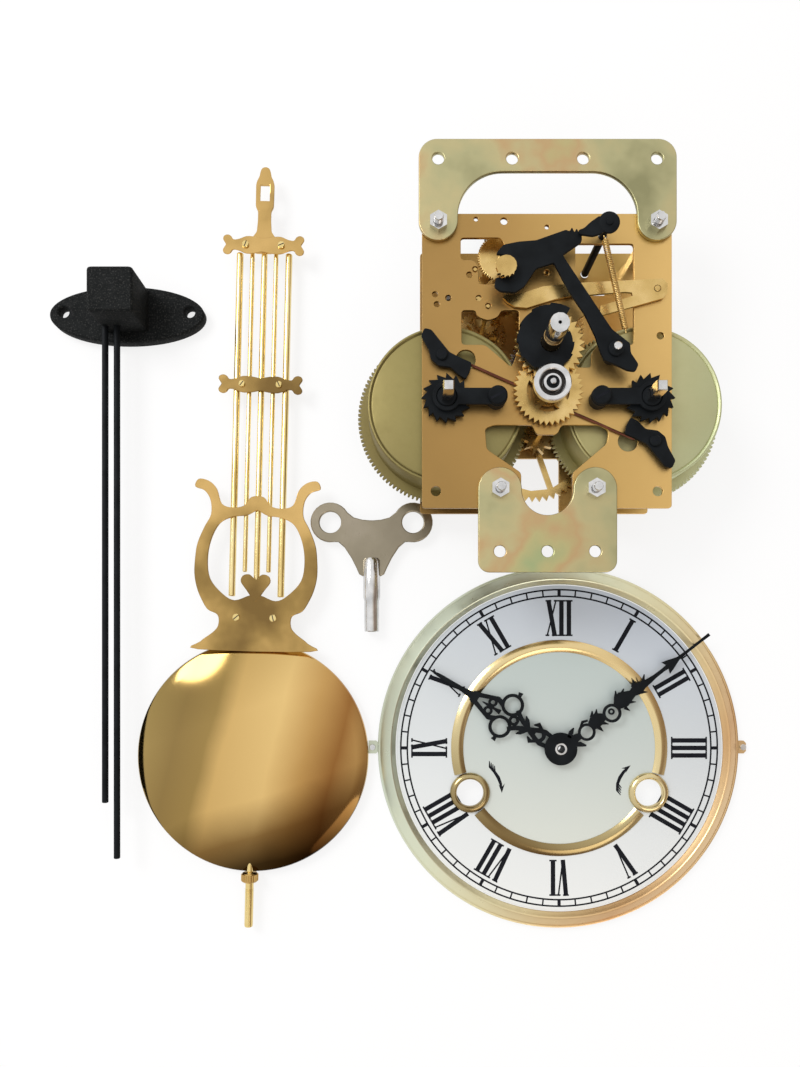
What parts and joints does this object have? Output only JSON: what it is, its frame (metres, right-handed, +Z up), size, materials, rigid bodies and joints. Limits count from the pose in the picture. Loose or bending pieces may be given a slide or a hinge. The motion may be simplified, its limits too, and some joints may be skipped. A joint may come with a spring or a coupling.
{
  "type": "clock movement",
  "caption": "Striking wall-clock movement lying flat with its dial and hands, gridiron pendulum, winding key and rod gong.",
  "frame": {"origin": "middle of the bounding box, on the surface the set lies on", "axes": "+Z up from that surface, +Y towards twelve o'clock of the movement and dial, +X to the right seen from above"},
  "size_m": [0.3462, 0.3734, 0.074],
  "materials": {
    "brass": "satin",
    "polished_brass": "polished",
    "plated_steel": "yellow zinc plate",
    "black_steel": "black",
    "bright_steel": "bright",
    "dark_steel": "plain",
    "nickel": "nickel plate",
    "spring_wire": "dark copper coloured",
    "enamel": "white, satin",
    "castings": "black, grainy"
  },
  "bodies": {
    "base": {"front_plate": "brass", "back_plate": "brass", "pillar_top_left": "bright_steel", "pillar_top_right": "bright_steel", "pillar_bottom_left": "bright_steel", "pillar_bottom_right": "bright_steel", "top_bracket": "plated_steel", "bottom_bracket": "plated_steel", "strike_bridge": "black_steel", "time_bridge": "black_steel", "strike_click_spring": "spring_wire", "time_click_spring": "spring_wire", "suspension_cock": "black_steel", "motion_stud": "bright_steel", "rack_stud": "bright_steel", "rack_spring": "brass", "dial_rim": "polished_brass", "dial_face": "enamel", "dial_inner_ring": "polished_brass", "dial_inner_ring_lower": "polished_brass", "strike_hole_grommet": "polished_brass", "time_hole_grommet": "polished_brass", "pendulum_hook": "polished_brass", "pendulum_bow": "polished_brass", "grid_rod_outer_left": "polished_brass", "grid_rod_inner_left": "polished_brass", "grid_rod_middle": "polished_brass", "grid_rod_inner_right": "polished_brass", "grid_rod_outer_right": "polished_brass", "lyre": "polished_brass", "bob_rod": "polished_brass", "winding_key": "nickel", "gong_block": "castings", "gong_rod_short": "black_steel", "gong_rod_long": "black_steel"},
    "hand_arbor": {"hand_arbor": "bright_steel"},
    "time_second_wheel": {"time_second_wheel": "brass"},
    "time_barrel": {"time_barrel": "plated_steel"},
    "time_third_wheel": {"time_third_wheel": "brass"},
    "escape_wheel": {"escape_wheel": "brass"},
    "minute_wheel": {"minute_wheel": "brass"},
    "hour_wheel": {"hour_wheel": "brass", "snail": "black_steel"},
    "pin_wheel": {"pin_wheel": "brass"},
    "strike_barrel": {"strike_barrel": "plated_steel"},
    "gathering_wheel": {"gathering_wheel": "brass"},
    "fly": {"fly": "brass"},
    "strike_winding_arbor": {"strike_winding_arbor": "bright_steel"},
    "time_winding_arbor": {"time_winding_arbor": "bright_steel"},
    "strike_click": {"strike_click": "black_steel"},
    "time_click": {"time_click": "black_steel"},
    "verge": {"verge_and_crutch": "dark_steel"},
    "rack": {"rack_lever": "black_steel"},
    "rack_hook": {"rack_hook": "black_steel"},
    "lifting_lever": {"lifting_lever": "brass"},
    "hammer": {"hammer": "dark_steel"},
    "hour_hand": {"hour_hand": "black_steel"},
    "minute_hand": {"minute_hand": "black_steel"},
    "bob": {"bob": "polished_brass"},
    "rating_nut": {"rating_nut": "polished_brass"}
  },
  "joints": [
    {"name": "hand_turn", "type": "hinge", "parent": "base", "child": "hand_arbor", "pos_m": [0.0647, 0.08137, 0.047], "axis": [0, 0, 1], "continuous": true},
    {"name": "time_second_turn", "type": "hinge", "parent": "base", "child": "time_second_wheel", "pos_m": [0.0647, 0.04917, 0.03], "axis": [0, 0, 1], "continuous": true},
    {"name": "time_barrel_turn", "type": "hinge", "parent": "base", "child": "time_barrel", "pos_m": [0.1087, 0.05937, 0.03], "axis": [0, 0, 1], "continuous": true},
    {"name": "time_third_turn", "type": "hinge", "parent": "base", "child": "time_third_wheel", "pos_m": [0.06884, 0.09827, 0.03], "axis": [0, 0, 1], "continuous": true},
    {"name": "escape_turn", "type": "hinge", "parent": "base", "child": "escape_wheel", "pos_m": [0.0647, 0.11517, 0.03], "axis": [0, 0, 1], "continuous": true},
    {"name": "minute_turn", "type": "hinge", "parent": "base", "child": "minute_wheel", "pos_m": [0.0647, 0.06277, 0.05], "axis": [0, 0, 1], "continuous": true},
    {"name": "hour_turn", "type": "hinge", "parent": "base", "child": "hour_wheel", "pos_m": [0.0647, 0.08137, 0.055], "axis": [0, 0, 1], "continuous": true},
    {"name": "pin_wheel_turn", "type": "hinge", "parent": "base", "child": "pin_wheel", "pos_m": [0.0391, 0.10062, 0.03], "axis": [0, 0, 1], "continuous": true},
    {"name": "strike_barrel_turn", "type": "hinge", "parent": "base", "child": "strike_barrel", "pos_m": [0.0207, 0.05937, 0.03], "axis": [0, 0, 1], "continuous": true},
    {"name": "gathering_turn", "type": "hinge", "parent": "base", "child": "gathering_wheel", "pos_m": [0.0454, 0.11217, 0.03], "axis": [0, 0, 1], "continuous": true},
    {"name": "fly_turn", "type": "hinge", "parent": "base", "child": "fly", "pos_m": [0.0334, 0.11664, 0.03], "axis": [0, 0, 1], "continuous": true},
    {"name": "strike_winding", "type": "hinge", "parent": "base", "child": "strike_winding_arbor", "pos_m": [0.0207, 0.05937, 0.05], "axis": [0, 0, 1], "continuous": true},
    {"name": "time_winding", "type": "hinge", "parent": "base", "child": "time_winding_arbor", "pos_m": [0.1087, 0.05937, 0.05], "axis": [0, 0, 1], "continuous": true},
    {"name": "strike_click_lift", "type": "hinge", "parent": "base", "child": "strike_click", "pos_m": [0.0187, 0.07797, 0.05], "axis": [0, 0, 1], "range_deg": [0, 10], "stiffness_Nm_per_rad": 0.002},
    {"name": "time_click_lift", "type": "hinge", "parent": "base", "child": "time_click", "pos_m": [0.1107, 0.04077, 0.05], "axis": [0, 0, 1], "range_deg": [0, 10], "stiffness_Nm_per_rad": 0.002},
    {"name": "verge_rock", "type": "hinge", "parent": "base", "child": "verge", "pos_m": [0.0647, 0.12867, 0.03], "axis": [0, 0, 1], "range_deg": [-3, 3]},
    {"name": "rack_drop", "type": "hinge", "parent": "base", "child": "rack", "pos_m": [0.0922, 0.07827, 0.055], "axis": [0, 0, 1], "range_deg": [-3, 0]},
    {"name": "hook_lift", "type": "hinge", "parent": "base", "child": "rack_hook", "pos_m": [0.089, 0.13107, 0.057], "axis": [0, 0, 1], "range_deg": [-6, 0]},
    {"name": "lever_lift", "type": "hinge", "parent": "base", "child": "lifting_lever", "pos_m": [0.1124, 0.10747, 0.048], "axis": [0, 0, 1], "range_deg": [-3, 3]},
    {"name": "hammer_lift", "type": "hinge", "parent": "base", "child": "hammer", "pos_m": [0.0217, 0.10417, 0.019], "axis": [0, 0, 1], "range_deg": [0, 12]},
    {"name": "hour_hand_turn", "type": "hinge", "parent": "base", "child": "hour_hand", "pos_m": [0.0791, -0.09723, 0.008], "axis": [0, 0, 1], "continuous": true},
    {"name": "minute_hand_turn", "type": "hinge", "parent": "base", "child": "minute_hand", "pos_m": [0.0791, -0.09723, 0.009], "axis": [0, 0, 1], "continuous": true},
    {"name": "bob_slide", "type": "slide", "parent": "base", "child": "bob", "axis": [0.0246, 0.9997, 0], "range_m": [-0.002, 0.002]},
    {"name": "nut_turn", "type": "hinge", "parent": "bob", "child": "rating_nut", "pos_m": [-0.07347, -0.16081, 0.0052], "axis": [0.0246, 0.9997, 0], "range_deg": [-1030, 1030]}
  ],
  "couplings": [
    {"joint": "time_second_turn", "follows": "hand_turn", "ratio": -0.2},
    {"joint": "time_barrel_turn", "follows": "hand_turn", "ratio": 0.033333},
    {"joint": "time_third_turn", "follows": "hand_turn", "ratio": -3.6667},
    {"joint": "escape_turn", "follows": "hand_turn", "ratio": 22},
    {"joint": "minute_turn", "follows": "hand_turn", "ratio": -0.27778},
    {"joint": "hour_turn", "follows": "hand_turn", "ratio": 0.083333},
    {"joint": "strike_barrel_turn", "follows": "pin_wheel_turn", "ratio": -0.16667},
    {"joint": "gathering_turn", "follows": "pin_wheel_turn", "ratio": -6},
    {"joint": "fly_turn", "follows": "pin_wheel_turn", "ratio": 36},
    {"joint": "nut_turn", "follows": "bob_slide", "rad_per_m": 8976}
  ]
}
